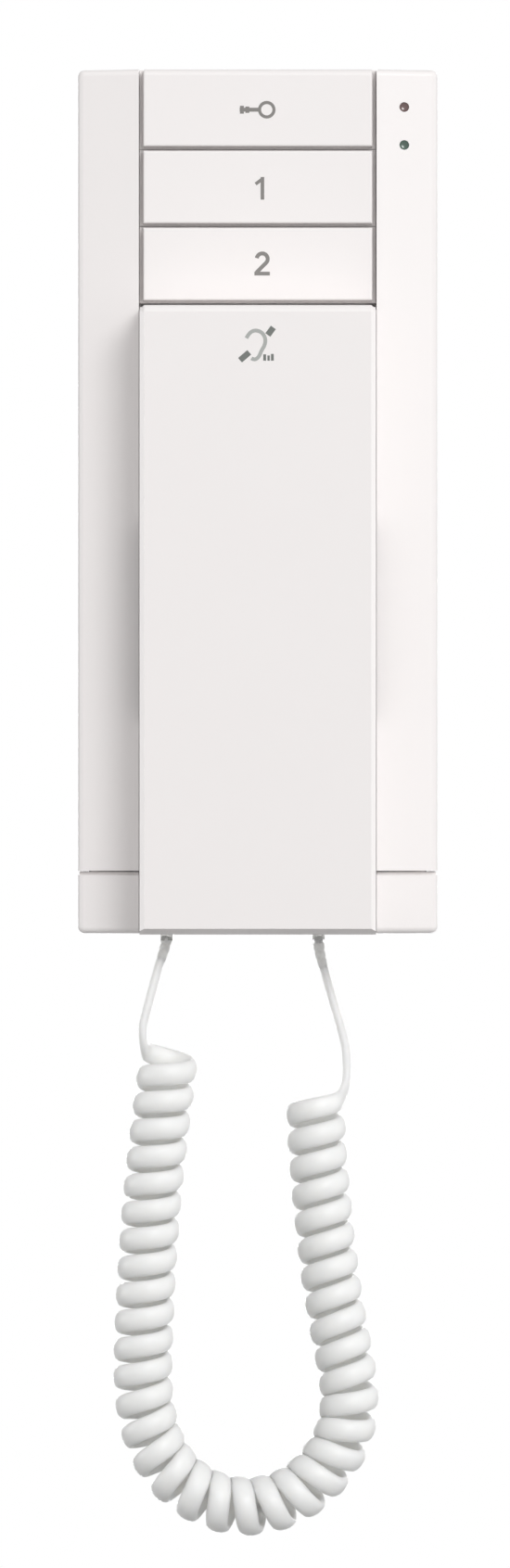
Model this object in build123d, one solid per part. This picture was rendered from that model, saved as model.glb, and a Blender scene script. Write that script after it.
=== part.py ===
from build123d import *
from math import cos, pi, sin, sqrt, tan
import os

# Intercom wall station with a corded handset. Millimetres, origin in the middle of the wall face,
# X to the right as seen from the room, Z up, the room on the -Y side. "Depth" is the distance in
# front of the wall, so a point at depth d has y = -d.

# the station as a whole
body_width = 92.0
body_height = 221.0
body_depth = 25.0
skirt_gap = 0.6
housing_wall = 2.2
front_edge_radius = 1.6
side_edge_radius = 1.9
overrun = 1.0
seat_clearance = 0.3
running_clearance = 0.05

# the middle column that holds the buttons above and the handset below
wing_width = 15.6
wing_drop = 3.5
groove_width = 1.1
first_row_height = 20.3
button_pitch = 19.7
button_names = ["door_opener", "call_1", "call_2"]
recess_floor_depth = 17.0
cradle_floor_depth = 13.2

# the cover strip across the foot of the station
strip_height = 14.9
strip_tongue_width = 9.0
strip_tongue_reach = 6.0
strip_tongue_thickness = 1.4
strip_lap_drop = 2.0
strip_lap_thickness = 1.2
strip_lap_root = 2.0
strip_lap_side_inset = 0.3

# the button caps and their switches
button_travel = 0.8
cap_wall = 1.6
cap_lift = 0.8
cap_edge_radius = 0.5
shoulder_drop = 4.0
shoulder_gap = 0.15
plunger_width = 8.0
plunger_height = 7.0
leg_inset = 7.3
leg_width = 6.0
leg_thickness = 1.4
barb_reach = 1.0
barb_height = 1.6
switch_side = 6.0
switch_height = 3.5
stem_diameter = 3.2
stem_length = 3.7
stem_sink = 2.2

# the plate that is screwed to the wall
plate_thickness = 2.4
plate_corner = 2.0
rim_height = 3.6
rim_thickness = 1.6
cable_entry_width = 26.0
cable_entry_height = 22.0
cable_entry_drop = 118.5
box_screw_spacing = 60.0
box_slot_length = 10.0
box_slot_width = 4.2
wall_screw_inset_x = 14.0
wall_screw_inset_z = 20.5
wall_screw_hole = 4.4
hook_tab_width = 10.0
hook_tab_thickness = 1.6
hook_tab_reach = 1.4
hook_tab_inset = 15.5
hook_tab_depth = 3.4

# the circuit board and what sits on it
board_side_gap = 1.8
board_height = 78.0
board_thickness = 1.6
board_depth = 7.4
board_top_gap = 2.6
board_screw_inset = 4.5
board_screw_drop = 22.0
board_rest_side = 5.0
board_rest_inset = 4.0
standoff_diameter = 6.0
small_screw_shank = 2.4
small_screw_head = 4.8
small_screw_head_height = 1.8
small_screw_length = 5.5
terminal_ways = 6
terminal_pitch = 5.0
terminal_width = 9.0
terminal_room = 3.3
terminal_inset = 7.5
terminal_drop = 55.5
terminal_cup_side = 3.2
terminal_cup_depth = 1.6
terminal_screw_slot = 0.6
terminal_port_width = 3.4
terminal_port_height = 3.0
chip_side = 12.0
chip_height = 1.2
chip_x = 14.0
chip_drop = 46.5
capacitor_diameter = 8.0
capacitor_room = 3.2
capacitor_inset = 8.0
capacitor_drop = 50.5

# the two indicator lamps in the right wing
lamp_inset = 8.5
lamp_drop = 9.6
lamp_spacing = 9.7
lamp_hole = 2.5
lamp_recess = 0.6
pipe_flange_side = 4.0
pipe_flange_thickness = 1.0
led_width = 3.2
led_height = 1.6
led_thickness = 0.9

# the call loudspeaker behind the cradle floor
speaker_diameter = 36.0
speaker_thickness = 6.4
speaker_magnet_diameter = 18.0
speaker_rim_thickness = 1.6
speaker_rise = 58.0
speaker_rib_height = 3.0
speaker_rib_thickness = 1.2
speaker_rib_length = 10.0
sound_slots = 5
sound_slot_pitch = 5.0
sound_slot_width = 2.0
sound_slot_length = 22.0

# the hook switch in the cradle
plunger_diameter = 5.0
plunger_travel = 3.0
plunger_nose = 0.8
plunger_flange_diameter = 8.0
plunger_flange_thickness = 1.0
plunger_stem_side = 2.4
plunger_drop = 41.25
hook_switch_width = 12.8
hook_switch_height = 6.0
hook_switch_thickness = 3.0

# the handset
handset_side_gap = 0.4
handset_top_gap = 1.6
handset_front_depth = 46.0
handset_wall = 2.2
handset_face_shell_depth = 12.0
handset_top_radius = 1.8
handset_side_radius = 1.2
handset_foot_bevel_rise = 1.5
handset_foot_bevel_reach = 2.8
handset_back_radius = 1.0
grip_shell_depth = 3.6
ear_block_margin = 5.75
mouth_block_margin = 7.5
grip_ramp_length = 14.0
grip_round_radius = 6.0
parting_groove = 0.4
earpiece_drop = 23.75
earpiece_diameter = 30.0
earpiece_thickness = 6.0
earpiece_magnet_diameter = 15.0
earpiece_rim_thickness = 1.5
earpiece_hole = 2.0
earpiece_ring_holes = 6
earpiece_ring_radius = 5.0
telecoil_width = 1.8
telecoil_thickness = 3.0
microphone_rise = 30.5
microphone_diameter = 9.6
microphone_thickness = 4.5
microphone_hole = 1.5
boot_wall = 1.2
handset_board_width = 30.0
handset_board_height = 38.0
handset_board_thickness = 1.2
handset_board_post = 5.6
handset_post_diameter = 7.0
handset_boss_diameter = 8.4
handset_joint_depth = 22.0
handset_screw_inset = 7.0
handset_screw_rise = 30.5
handset_hook_spacing = 30.0
handset_hook_width = 8.0
handset_hook_reach = 1.2
handset_hook_thickness = 1.4
handset_hook_drop = 4.5
handset_lip_thickness = 1.1
handset_lip_reach = 1.1
handset_screw_recess = 6.0
handset_screw_length = 11.0

# magnets in the handset and the steel plates that they hold on to
magnet_width = 20.0
magnet_height = 5.0
magnet_thickness = 3.0
steel_width = 24.0
steel_height = 7.6
steel_thickness = 1.0
magnet_ear_drop = 5.85
magnet_mouth_rise = 20.3

# the screw that holds the housing to the wall plate, under the handset
housing_screw_rise = 33.0
housing_screw_shank = 3.0
housing_screw_head = 5.6
housing_screw_head_height = 1.8
housing_boss_diameter = 7.0

# modular sockets and plugs at the two ends of the cord
plug_width = 7.4
plug_thickness = 6.4
plug_length = 11.7
plug_nose_width = 3.2
plug_nose_depth = 5.4
plug_nose_length = 1.8
socket_wall = 0.6
socket_length = 13.4
handset_cord_inset = 6.8
base_cord_inset = 14.8
base_cord_depth = 6.9

# the curly cord
cord_thickness = 3.4
cord_sides = 5
coil_diameter = 15.4
coil_turns = 36
end_run = cord_thickness
helix_probe_share = 0.0002
gap_samples_per_turn = 48
# route points as x, depth and height: handset's tail, the line the coil is wound along, base's tail
handset_tail_route = [
    (-23.2, 23.75, -112.3), (-23.2, 23.75, -116.2), (-25.2, 25.3, -121.0),
    (-27.4, 27.4, -125.4), (-28.8, 28.8, -129.2), (-28.8, 28.8, -133.0),
]
coil_route = [
    (-22.8, 24.0, -141.2), (-24.0, 24.0, -153.0), (-25.3, 23.6, -166.0), (-26.6, 23.0, -179.0),
    (-27.9, 22.2, -192.0), (-28.8, 21.5, -205.0), (-29.4, 20.8, -218.0), (-29.3, 20.2, -230.0),
    (-26.6, 19.6, -241.6), (-20.6, 19.0, -250.6), (-12.0, 18.4, -256.1), (-2.0, 17.8, -257.9),
    (7.9, 17.2, -255.6), (16.0, 16.6, -249.6), (22.0, 16.1, -240.6), (24.0, 15.7, -229.6),
    (21.9, 15.2, -217.2), (19.4, 14.7, -204.2), (17.7, 14.3, -191.2), (16.3, 14.0, -178.2),
    (15.2, 14.0, -165.8), (14.8, 14.0, -153.6),
]
base_tail_route = [
    (22.3, 9.0, -145.6), (22.3, 9.0, -140.8), (21.4, 8.8, -134.6), (19.2, 8.0, -127.6),
    (17.0, 7.2, -121.2), (15.6, 6.9, -116.2), (15.6, 6.9, -112.3),
]

# levels and places worked out from the sizes above
body_top = body_height / 2
body_foot = -body_top
half_width = body_width / 2
half_column = half_width - wing_width
column_width = 2 * half_column
button_width = column_width - 2 * groove_width
leg_spacing = button_width - 2 * leg_inset
cradle_top = body_top - first_row_height - (len(button_names) - 1) * button_pitch
housing_foot = body_foot + strip_height + groove_width
cavity_foot = body_foot + housing_wall
plate_height = body_height - 2 * (housing_wall + seat_clearance)
plate_width = body_width - 2 * (housing_wall + seat_clearance)
hook_tab_spacing = plate_width - 2 * hook_tab_inset
cable_entry_z = body_top - cable_entry_drop
wall_screw_spacing_x = body_width - 2 * wall_screw_inset_x
wall_screw_spacing_z = body_height - 2 * wall_screw_inset_z
board_width = body_width - 2 * (housing_wall + board_side_gap)
board_top = body_top - housing_wall - board_top_gap
board_z = board_top - board_height / 2
board_front = board_depth + board_thickness
wing_room = body_depth - housing_wall - board_front
terminal_x = terminal_inset - half_width
terminal_z = body_top - terminal_drop
terminal_height = wing_room - terminal_room
chip_z = body_top - chip_drop
capacitor_x = half_width - capacitor_inset
capacitor_z = body_top - capacitor_drop
capacitor_height = wing_room - capacitor_room
lamp_x = half_width - lamp_inset
lamp_top_z = body_top - lamp_drop
speaker_z = body_foot + speaker_rise
housing_screw_z = body_foot + housing_screw_rise
base_cord_x = half_column - base_cord_inset
handset_width = column_width - 2 * handset_side_gap
handset_top = cradle_top - handset_top_gap
handset_foot = body_foot
handset_back_depth = cradle_floor_depth + seat_clearance
handset_parting_depth = handset_front_depth - handset_face_shell_depth
handset_cord_depth = (handset_back_depth + handset_parting_depth) / 2
grip_depth = handset_parting_depth - grip_shell_depth
handset_hook_depth = handset_parting_depth - handset_hook_drop
handset_board_z = (handset_top + handset_foot) / 2
handset_board_depth = handset_front_depth - handset_wall - handset_board_post - handset_board_thickness
handset_screw_x = handset_width / 2 - handset_screw_inset
handset_screw_z = handset_foot + handset_screw_rise
handset_cord_x = handset_cord_inset - handset_width / 2
plunger_z = handset_top - plunger_drop
earpiece_z = handset_top - earpiece_drop
ear_block_foot = earpiece_z - earpiece_diameter / 2 - ear_block_margin
microphone_z = handset_foot + microphone_rise
mouth_block_top = microphone_z + microphone_diameter / 2 + boot_wall + mouth_block_margin
magnet_ear_z = handset_top - magnet_ear_drop
magnet_mouth_z = handset_foot + magnet_mouth_rise


def front_plane(depth):
    """The plane parallel to the wall, facing the room, at a depth."""
    return Plane.XZ.offset(depth)


def slab(width, height, back, front, x=0, z=0, corner=0):
    """A block parallel to the wall between two depths."""
    outline = RectangleRounded(width, height, corner) if corner else Rectangle(width, height)
    return front_plane(back) * Pos(x, z) * extrude(outline, front - back)


def peg(diameter, back, front, x=0, z=0):
    """A round post or hole square to the wall between two depths."""
    return front_plane(back) * Pos(x, z) * extrude(Circle(diameter / 2), front - back)


def tube_peg(outer, inner, back, front, x=0, z=0):
    """A round wall standing square to the wall."""
    return peg(outer, back, front, x, z) - peg(inner, back - overrun, front + overrun, x, z)


def screw(shank, head, head_height, seat, length, x, z, way):
    """A pan-head screw whose head sits on a seat depth; way is 1 when it points at the room, else -1."""
    shaft = peg(shank, min(seat, seat + way * length), max(seat, seat + way * length), x, z)
    cap = peg(head, min(seat, seat - way * head_height), max(seat, seat - way * head_height), x, z)
    return shaft + cap


def write(name, shape):
    export_step(shape, f"parts/{name}.step")


# housing, strip and wall plate

def wing_face_depth(x):
    """How far a wing's face stands from the wall: it falls away towards the station's outer edge."""
    return body_depth - wing_drop * (abs(x) - half_column) / wing_width


def channel_outline(inset, floor_depth, back_depth):
    """The section across the station, set in by a wall: two wings with a sunk column between them."""
    side = half_width - inset
    column = half_column + inset
    edge = wing_face_depth(side) - inset
    crest = wing_face_depth(column) - inset
    floor = floor_depth - inset
    return make_face(Polyline(
        (-side, -back_depth), (-side, -edge), (-column, -crest), (-column, -floor),
        (column, -floor), (column, -crest), (side, -edge), (side, -back_depth),
        close=True,
    ))


def channel(floor_depth, low, high):
    """A length of the station's moulded wall with the column sunk to a floor depth."""
    outer = channel_outline(0, floor_depth, skirt_gap)
    inner = channel_outline(housing_wall, floor_depth, skirt_gap - overrun)
    return Pos(0, 0, low) * extrude(outer - inner, high - low, dir=(0, 0, 1))


def cross_wall(floor_depth, back_depth, low, high):
    """A wall across the whole section, closed between the wings up to the floor depth."""
    outline = channel_outline(0, floor_depth, back_depth)
    return Pos(0, 0, low) * extrude(outline, high - low, dir=(0, 0, 1))


def round_front_edges(shape, end):
    """Rounds the wings' long outer edges at the front, and their front edges at one end of the station."""
    edge_depth = wing_face_depth(half_width)
    sides = [
        e for e in shape.edges().filter_by(Axis.Z)
        if abs(abs(e.center().X) - half_width) < running_clearance
        and abs(e.center().Y + edge_depth) < running_clearance
    ]
    shape = fillet(sides, side_edge_radius)
    ends = [
        e for e in shape.edges()
        if abs(e.center().Z - end) < running_clearance
        and -e.center().Y > edge_depth
        and abs(e.center().X) > half_column + running_clearance
        and e.length > side_edge_radius
    ]
    return fillet(ends, front_edge_radius)


def button_rows():
    """The height of each cap's middle and the cap's height, from the top down."""
    rows = []
    top = body_top
    for row in range(len(button_names)):
        foot = body_top - first_row_height - row * button_pitch + groove_width / 2
        rows.append(((top + foot) / 2, top - foot))
        top = foot - groove_width
    return rows


def floor_cuts():
    """The holes in the recess floor for the caps' plungers and snap legs."""
    back = recess_floor_depth - housing_wall - overrun
    front = recess_floor_depth + overrun
    slot_height = leg_thickness + barb_reach + 2 * seat_clearance
    cuts = []
    for z, _ in button_rows():
        cuts.append(slab(
            plunger_width + 2 * seat_clearance, plunger_height + 2 * seat_clearance, back, front, 0, z,
        ))
        for side in (-1, 1):
            cuts.append(slab(
                leg_width + 2 * seat_clearance, slot_height, back, front,
                side * leg_spacing / 2, z + barb_reach / 2,
            ))
    return cuts


def cradle_cuts():
    """The holes in the cradle floor: hook switch, loudspeaker slots and housing screw."""
    back = cradle_floor_depth - housing_wall - overrun
    front = cradle_floor_depth + overrun
    cuts = [
        peg(plunger_diameter + 2 * running_clearance, back, front, 0, plunger_z),
        peg(housing_screw_shank + 2 * seat_clearance, back, front, 0, housing_screw_z),
        peg(
            housing_screw_head + 2 * seat_clearance, cradle_floor_depth - housing_screw_head_height / 2,
            front, 0, housing_screw_z,
        ),
    ]
    for slot in range(sound_slots):
        z = speaker_z + (slot - (sound_slots - 1) / 2) * sound_slot_pitch
        slot_outline = SlotOverall(sound_slot_length, sound_slot_width)
        cuts.append(front_plane(back) * Pos(0, z) * extrude(slot_outline, front - back))
    return cuts


def lamp_heights():
    return [lamp_top_z, lamp_top_z - lamp_spacing]


def make_front_housing():
    shell = channel(cradle_floor_depth, housing_foot, cradle_top)
    shell += channel(recess_floor_depth, cradle_top, body_top)
    shell += cross_wall(recess_floor_depth, skirt_gap, body_top - housing_wall, body_top)
    step_back = cradle_floor_depth - housing_wall
    shell += slab(
        column_width + 2 * housing_wall, housing_wall, step_back, recess_floor_depth,
        0, cradle_top + housing_wall / 2,
    )
    shell = round_front_edges(shell, body_top)
    for cut in floor_cuts() + cradle_cuts():
        shell -= cut
    for z in lamp_heights():
        shell -= peg(lamp_hole, wing_face_depth(half_width) - housing_wall, body_depth + overrun, lamp_x, z)
    rib_front = cradle_floor_depth - housing_wall
    rib_offset = speaker_diameter / 2 + seat_clearance + speaker_rib_thickness / 2
    for side in (-1, 1):
        shell += slab(
            speaker_rib_thickness, speaker_rib_length, rib_front - speaker_rib_height, rib_front,
            side * rib_offset, speaker_z,
        )
        shell += slab(
            speaker_rib_length, speaker_rib_thickness, rib_front - speaker_rib_height, rib_front,
            0, speaker_z + side * rib_offset,
        )
    for side in (-1, 1):
        shell -= slab(
            hook_tab_width + 2 * seat_clearance, 2 * (hook_tab_reach + running_clearance),
            hook_tab_depth - running_clearance, hook_tab_depth + hook_tab_thickness + running_clearance,
            side * hook_tab_spacing / 2, body_top - housing_wall,
        )
    return shell


def strip_lap(side, low, high):
    """The lip that stands behind the groove across one wing, so that the groove has a floor."""
    outer = half_width - strip_lap_side_inset
    inner = half_width - housing_wall
    column = half_column + running_clearance
    outer_front = wing_face_depth(outer) - strip_lap_drop
    column_front = wing_face_depth(column) - strip_lap_drop
    inner_back = wing_face_depth(inner) - strip_lap_drop - strip_lap_thickness
    outline = make_face(Polyline(
        (side * outer, -skirt_gap), (side * outer, -outer_front), (side * column, -column_front),
        (side * column, strip_lap_thickness - column_front), (side * inner, -inner_back),
        (side * inner, -skirt_gap), close=True,
    ))
    return Pos(0, 0, low) * extrude(outline, high - low, dir=(0, 0, 1))


def make_bottom_strip():
    top = body_foot + strip_height
    strip = channel(cradle_floor_depth, body_foot, top)
    strip += cross_wall(cradle_floor_depth, skirt_gap, body_foot, cavity_foot)
    strip = round_front_edges(strip, body_foot)
    strip -= socket_cut(base_cord_x, base_cord_depth, body_foot)
    middle = (half_width + half_column) / 2
    seat = wing_face_depth(middle + strip_tongue_width / 2) - housing_wall
    root_front = wing_face_depth(middle - strip_tongue_width / 2) - housing_wall
    for side in (-1, 1):
        root = slab(
            strip_tongue_width, strip_tongue_reach, seat - strip_tongue_thickness, root_front,
            side * middle, top - strip_tongue_reach / 2,
        )
        tip = slab(
            strip_tongue_width, strip_tongue_reach + groove_width, seat - strip_tongue_thickness,
            seat - running_clearance, side * middle, top + (strip_tongue_reach + groove_width) / 2,
        )
        strip += root + tip
        strip += strip_lap(side, top - strip_lap_root, top + groove_width - seat_clearance)
    return strip


def make_wall_plate():
    plate = slab(plate_width, plate_height, 0, plate_thickness, corner=plate_corner)
    rim = slab(plate_width, plate_height, plate_thickness, plate_thickness + rim_height, corner=plate_corner)
    rim -= slab(
        plate_width - 2 * rim_thickness, plate_height - 2 * rim_thickness, plate_thickness - overrun,
        plate_thickness + rim_height + overrun,
    )
    notch_width, notch_reach = socket_outside()
    rim -= slab(
        notch_width + 2 * seat_clearance, 2 * (rim_thickness + overrun), plate_thickness,
        plate_thickness + rim_height + overrun, base_cord_x, -plate_height / 2,
    )
    plate += rim
    for x, z in board_screw_places():
        plate += peg(standoff_diameter, plate_thickness, board_depth, x, z)
        plate -= peg(
            small_screw_shank + 2 * running_clearance, board_depth - small_screw_length,
            board_depth + overrun, x, z,
        )
    for x, z in board_rest_places():
        plate += slab(board_rest_side, board_rest_side, plate_thickness, board_depth, x, z)
    boss_front = cradle_floor_depth - housing_wall - seat_clearance
    plate += peg(housing_boss_diameter, plate_thickness, boss_front, 0, housing_screw_z)
    plate -= peg(
        housing_screw_shank + 2 * running_clearance, plate_thickness, boss_front + overrun,
        0, housing_screw_z,
    )
    plate -= slab(
        cable_entry_width, cable_entry_height, -overrun, plate_thickness + overrun,
        0, cable_entry_z, plate_corner,
    )
    for side in (-1, 1):
        plate -= front_plane(-overrun) * Pos(side * box_screw_spacing / 2, cable_entry_z) * extrude(
            SlotOverall(box_slot_length, box_slot_width), plate_thickness + 2 * overrun,
        )
        for end in (-1, 1):
            plate -= peg(
                wall_screw_hole, -overrun, plate_thickness + overrun,
                side * wall_screw_spacing_x / 2, end * wall_screw_spacing_z / 2,
            )
        tab_top = body_top - housing_wall + hook_tab_reach
        tab_low = plate_height / 2 - rim_thickness
        plate += slab(
            hook_tab_width, tab_top - tab_low, hook_tab_depth, hook_tab_depth + hook_tab_thickness,
            side * hook_tab_spacing / 2, (tab_top + tab_low) / 2,
        )
    return plate


def make_housing_screw():
    seat = cradle_floor_depth - housing_screw_head_height / 2
    length = seat - plate_thickness - seat_clearance
    body = screw(
        housing_screw_shank, housing_screw_head, housing_screw_head_height / 2, seat, length,
        0, housing_screw_z, -1,
    )
    return body


# circuit board and what it carries

def board_screw_places():
    x = board_width / 2 - board_screw_inset
    return [(side * x, board_top - board_screw_drop) for side in (-1, 1)]


def board_rest_places():
    x = board_width / 2 - board_rest_inset
    return [(side * x, board_top - board_height + board_rest_inset) for side in (-1, 1)]


def make_circuit_board():
    board = slab(board_width, board_height, board_depth, board_front, 0, board_z)
    for x, z in board_screw_places():
        hole = small_screw_shank + 2 * seat_clearance
        board -= peg(hole, board_depth - overrun, board_front + overrun, x, z)
    return board


def make_board_screws():
    return Compound([
        screw(
            small_screw_shank, small_screw_head, small_screw_head_height, board_front,
            board_thickness + small_screw_length - seat_clearance, x, z, -1,
        )
        for x, z in board_screw_places()
    ])


def make_terminal_block():
    length = terminal_ways * terminal_pitch
    top = board_front + terminal_height
    block = slab(terminal_width, length, board_front, top, terminal_x, terminal_z)
    for way in range(terminal_ways):
        z = terminal_z + (way - (terminal_ways - 1) / 2) * terminal_pitch
        block -= slab(
            terminal_cup_side, terminal_cup_side, top - terminal_cup_depth, top + overrun, terminal_x, z,
        )
        port_front = board_front + terminal_port_height + terminal_screw_slot
        block -= slab(
            terminal_width, terminal_port_width, board_front + terminal_screw_slot, port_front,
            terminal_x + terminal_width / 2, z,
        )
    return block


def make_board_components():
    chip = slab(chip_side, chip_side, board_front, board_front + chip_height, chip_x, chip_z)
    can = peg(capacitor_diameter, board_front, board_front + capacitor_height, capacitor_x, capacitor_z)
    return Compound([chip, can])


def make_tact_switches():
    switches = []
    for z, _ in button_rows():
        body = slab(switch_side, switch_side, board_front, board_front + switch_height, 0, z)
        bore_back = board_front + switch_height - stem_sink - button_travel - seat_clearance
        body_front = board_front + switch_height + overrun
        body -= peg(stem_diameter + 2 * running_clearance, bore_back, body_front, 0, z)
        switches.append(body)
    return Compound(switches)


def stem_back():
    return board_front + switch_height - stem_sink


def make_switch_stem(z):
    return peg(stem_diameter, stem_back(), stem_back() + stem_length, 0, z)


def make_leds():
    return Compound([
        slab(led_width, led_height, board_front, board_front + led_thickness, lamp_x, z)
        for z in lamp_heights()
    ])


def make_light_pipe(z):
    back = board_front + led_thickness + seat_clearance
    rod = peg(lamp_hole - 2 * running_clearance, back, wing_face_depth(lamp_x) - lamp_recess, lamp_x, z)
    flange_front = wing_face_depth(lamp_x + pipe_flange_side / 2) - housing_wall
    return rod + slab(
        pipe_flange_side, pipe_flange_side, flange_front - pipe_flange_thickness, flange_front, lamp_x, z,
    )


# buttons

def cap_shoulder(z, height, back):
    """The wider foot of a cap, which closes the grooves round it a little way below the caps' faces."""
    reach = groove_width - shoulder_gap
    high = min(z + (height + reach) / 2, body_top)
    low = z - (height + reach) / 2
    return slab(button_width + 2 * reach, high - low, back, body_depth - shoulder_drop, 0, (high + low) / 2)


def make_button(z, height):
    """A cap with its skirt, the plunger over the switch and two snap legs."""
    back = recess_floor_depth + button_travel + cap_lift
    cap = slab(button_width, height, back, body_depth, 0, z)
    edges = cap.faces().sort_by(Axis.Y)[0].edges()
    outer = [e for e in edges if abs(e.center().Z - body_top) < running_clearance]
    if outer:
        cap = fillet(outer, front_edge_radius)
        edges = cap.edges().filter_by_position(Axis.Y, -body_depth, -body_depth)
        edges = [e for e in edges if e.center().Z < z]
    cap = fillet(edges, cap_edge_radius)
    cap += cap_shoulder(z, height, back)
    front = body_depth - cap_wall
    cap -= slab(button_width - 2 * cap_wall, height - 2 * cap_wall, back - overrun, front, 0, z)
    cap += slab(plunger_width, plunger_height, stem_back() + stem_length, front, 0, z)
    barb_front = recess_floor_depth - housing_wall - running_clearance
    for side in (-1, 1):
        x = side * leg_spacing / 2
        cap += slab(leg_width, leg_thickness, barb_front - barb_height, front, x, z)
        barb = barb_reach + leg_thickness / 2
        cap += slab(leg_width, barb, barb_front - barb_height, barb_front, x, z + barb / 2)
    return cap


# call loudspeaker, hook switch and steel plates

def loudspeaker(diameter, magnet, thickness, rim, front, z, way):
    """A round loudspeaker with its rim at the front depth and its magnet behind; way points at the rim."""
    back = front - way * thickness
    edge = front - way * rim
    basket = peg(diameter, min(front, edge), max(front, edge), 0, z)
    return basket + peg(magnet, min(front, back), max(front, back), 0, z)


def make_call_loudspeaker():
    front = cradle_floor_depth - housing_wall
    return loudspeaker(
        speaker_diameter, speaker_magnet_diameter, speaker_thickness, speaker_rim_thickness,
        front, speaker_z, 1,
    )


def make_hook_plunger():
    """The plunger is pushed in by the handset; its flange stops it at the floor when the handset is off."""
    nose = handset_back_depth - running_clearance
    flange_front = cradle_floor_depth - housing_wall - plunger_travel - running_clearance
    pin = peg(plunger_diameter, flange_front, nose, 0, plunger_z)
    pin = chamfer(pin.faces().sort_by(Axis.Y)[0].edges(), plunger_nose)
    pin += peg(plunger_flange_diameter, flange_front - plunger_flange_thickness, flange_front, 0, plunger_z)
    tail_back = plate_thickness + hook_switch_thickness + running_clearance
    return pin + slab(plunger_stem_side, plunger_stem_side, tail_back, flange_front, 0, plunger_z)


def make_hook_switch():
    front = plate_thickness + hook_switch_thickness
    return slab(hook_switch_width, hook_switch_height, plate_thickness, front, 0, plunger_z)


def make_steel_plates():
    front = cradle_floor_depth - housing_wall
    return Compound([
        slab(steel_width, steel_height, front - steel_thickness, front, 0, z)
        for z in (magnet_ear_z, magnet_mouth_z)
    ])


# handset

def handset_side(inset):
    """The back half of the handset seen from its side, set in by a wall: ear block, grip and mouth block."""
    back = handset_back_depth + inset
    grip = grip_depth + inset
    top = handset_top - inset
    foot = handset_foot + inset
    ear_foot = ear_block_foot + inset
    mouth_top = mouth_block_top - inset
    open_depth = handset_parting_depth + (overrun if inset else 0)
    line = FilletPolyline(
        (top, open_depth), (top, back), (ear_foot, back), (ear_foot - grip_ramp_length, grip),
        (mouth_top + grip_ramp_length, grip), (mouth_top, back), (foot, back), (foot, open_depth),
        radius=[handset_back_radius] + [grip_round_radius] * 4 + [handset_back_radius],
    )
    return make_face(Wire(line.edges() + [Edge.make_line((foot, open_depth), (top, open_depth))]))


def handset_bar(inset, width):
    """That side profile made solid across a width. The profile's first number is height, its second depth."""
    side = Plane(origin=(-width / 2, 0, 0), x_dir=(0, 0, 1), z_dir=(1, 0, 0))
    return side * extrude(handset_side(inset), width, dir=(0, 0, 1))


def handset_screw_places():
    return [(side * handset_screw_x, handset_screw_z) for side in (-1, 1)]


def earpiece_holes():
    turns = [2 * pi * hole / earpiece_ring_holes for hole in range(earpiece_ring_holes)]
    ring = [(earpiece_ring_radius * cos(a), earpiece_z + earpiece_ring_radius * sin(a)) for a in turns]
    return [(0, earpiece_z)] + ring


def make_handset_back_shell():
    shell = handset_bar(0, handset_width) - handset_bar(handset_wall, handset_width - 2 * handset_wall)
    inner_back = handset_back_depth + handset_wall
    recess = handset_back_depth + handset_screw_recess
    for x, z in handset_screw_places():
        shell += peg(handset_boss_diameter, inner_back, handset_joint_depth, x, z)
        shell -= peg(small_screw_head + 2 * seat_clearance, handset_back_depth - overrun, recess, x, z)
        shell -= peg(small_screw_shank + 2 * seat_clearance, recess, handset_joint_depth + overrun, x, z)
    for x, z in earpiece_holes():
        shell -= peg(earpiece_hole, handset_back_depth - overrun, inner_back + overrun, x, z)
    shell -= peg(microphone_hole, handset_back_depth - overrun, inner_back + overrun, 0, microphone_z)
    for side in (-1, 1):
        hook_front = handset_hook_depth + handset_hook_thickness
        shell -= slab(
            handset_hook_width + 2 * running_clearance, 2 * (handset_hook_reach + running_clearance),
            handset_hook_depth - running_clearance, hook_front + running_clearance,
            side * handset_hook_spacing / 2, handset_top - handset_wall,
        )
    shell -= socket_cut(handset_cord_x, handset_cord_depth, handset_foot)
    return shell


def frame_ring(inset, thickness, back, front):
    """A rim inside the handset's outline, set in from it and as thick as said."""
    height = handset_top - handset_foot
    z = (handset_top + handset_foot) / 2
    rim = slab(handset_width - 2 * inset, height - 2 * inset, back, front, 0, z)
    hole = inset + thickness
    return rim - slab(handset_width - 2 * hole, height - 2 * hole, back - overrun, front + overrun, 0, z)


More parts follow.
